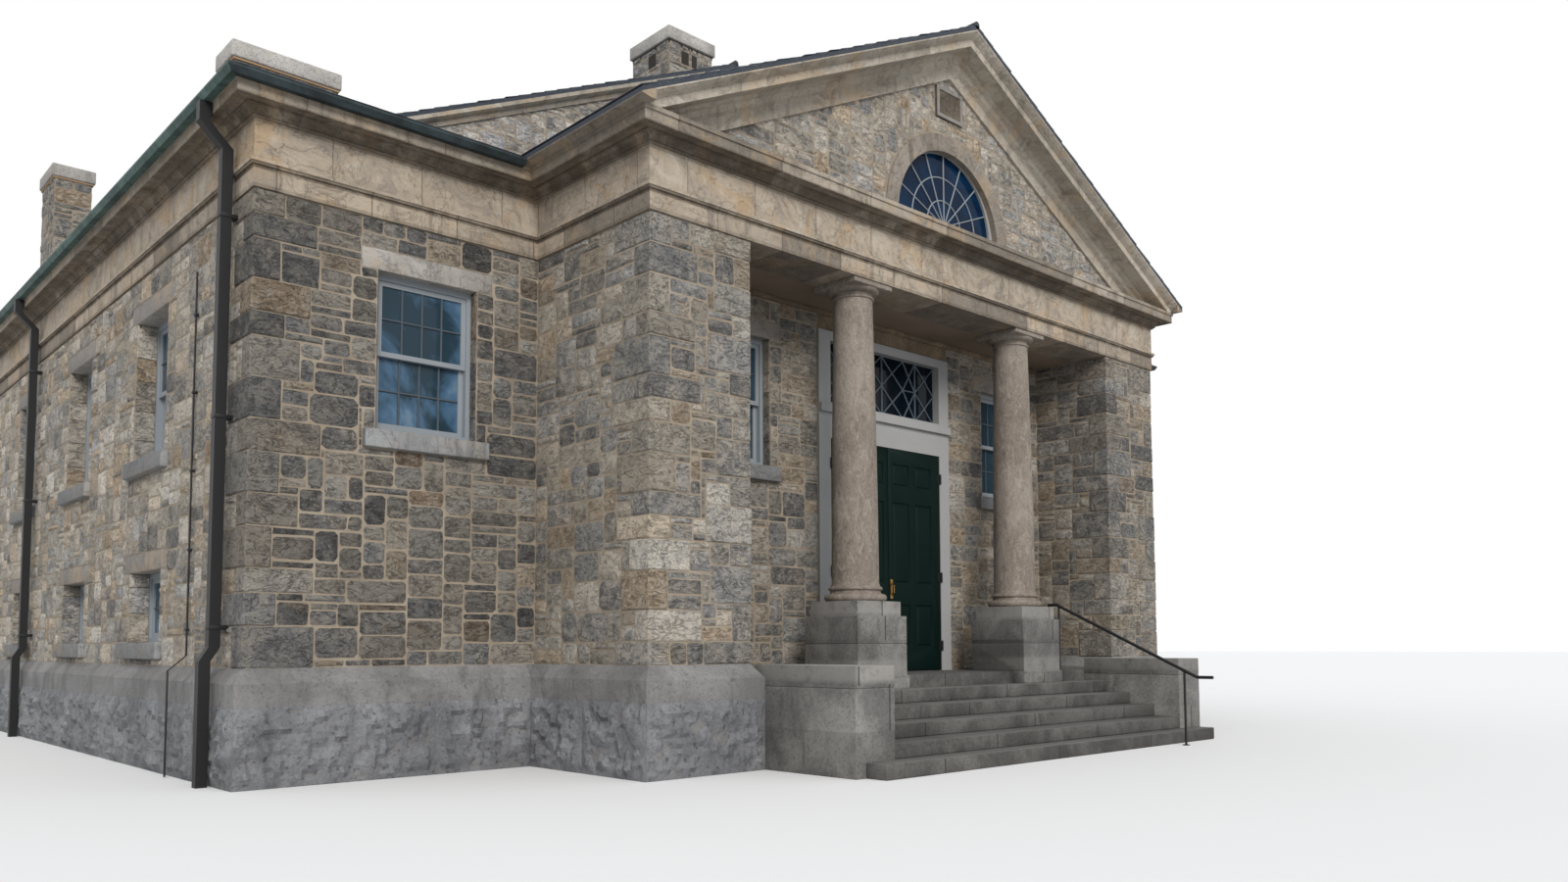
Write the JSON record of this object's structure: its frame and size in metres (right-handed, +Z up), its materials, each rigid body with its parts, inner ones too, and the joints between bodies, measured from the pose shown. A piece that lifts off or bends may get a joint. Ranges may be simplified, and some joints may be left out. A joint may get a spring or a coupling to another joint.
{
  "type": "museum building",
  "caption": "Stone museum building with a gabled portico on round columns, entrance steps between cheek walls, a half-round window in the pediment and hinged entrance doors.",
  "frame": {"origin": "on level ground, in the middle of the portico's front face, in line with the front of its corner piers", "axes": "+X to the right along the front as seen from outside, +Y back into the building along its ridge, +Z up"},
  "size_m": [15.454, 19.505, 10.5693],
  "materials": {
    "black_iron": "black paint",
    "brass": "worn brass",
    "cap_stone": "pale weathered stone",
    "casing_paint": "off white paint",
    "column_granite": "speckled hammered granite",
    "copper": "green weathered copper",
    "door_paint": "very dark green paint",
    "glass": "clear window glass",
    "granite": "fine hammered granite",
    "plate_timber": "sawn timber",
    "plinth_stone": "rock faced granite",
    "rubble": "rough split rubble in buff mortar",
    "slate": "dark blue slate",
    "smooth_stone": "smooth dressed sandstone, stained",
    "timber_floor": "plain boards",
    "window_paint": "pale grey blue paint"
  },
  "bodies": {
    "building": {"attic_floor": "timber_floor", "back_wall": "rubble", "cheek_walls": "granite", "chimney_caps": "cap_stone", "chimneys": "cap_stone", "column_bases": "column_granite", "column_capitals": "column_granite", "column_shafts": "column_granite", "cornice_fronts": "smooth_stone", "cornice_sides": "smooth_stone", "date_stone": "cap_stone", "door_frame": "casing_paint", "downpipes": "black_iron", "entablature_fronts": "smooth_stone", "entablature_sides": "smooth_stone", "entrance_lintel": "smooth_stone", "entrance_walls": "rubble", "front_gutters": "copper", "front_walls": "rubble", "gable_walls": "rubble", "hall_floor": "timber_floor", "handrail": "black_iron", "lunette_arch": "smooth_stone", "lunette_frame": "window_paint", "lunette_glass": "glass", "pedestals": "granite", "pent_roofs": "slate", "piers": "rubble", "plinth_front_and_back": "plinth_stone", "plinth_piers": "plinth_stone", "plinth_sides": "plinth_stone", "porch_ceiling": "casing_paint", "porch_floor": "granite", "portico_eave_courses": "smooth_stone", "rakes_left": "smooth_stone", "rakes_right": "smooth_stone", "roof_left": "slate", "roof_right": "slate", "side_gutters": "copper", "side_walls": "rubble", "step_foundation": "granite", "step_treads": "granite", "transom_glass": "glass", "tympanum_wall": "rubble", "wall_plates": "plate_timber", "window_frames": "window_paint", "window_glass": "glass", "window_lintels": "smooth_stone", "window_sashes": "window_paint", "window_sills": "smooth_stone"},
    "left_door": {"door_leaf_left": "door_paint", "door_hinges_left": "black_iron"},
    "right_door": {"door_leaf_right": "door_paint", "door_hinges_right": "black_iron", "door_handle": "brass"}
  },
  "joints": [
    {"name": "left_door_hinge", "type": "hinge", "parent": "building", "child": "left_door", "pos_m": [-1.03, 1.1037, 0.868], "axis": [0, 0, -1], "range_deg": [0, 90]},
    {"name": "right_door_hinge", "type": "hinge", "parent": "building", "child": "right_door", "pos_m": [1.03, 1.1037, 0.868], "axis": [0, 0, 1], "range_deg": [0, 90]}
  ]
}
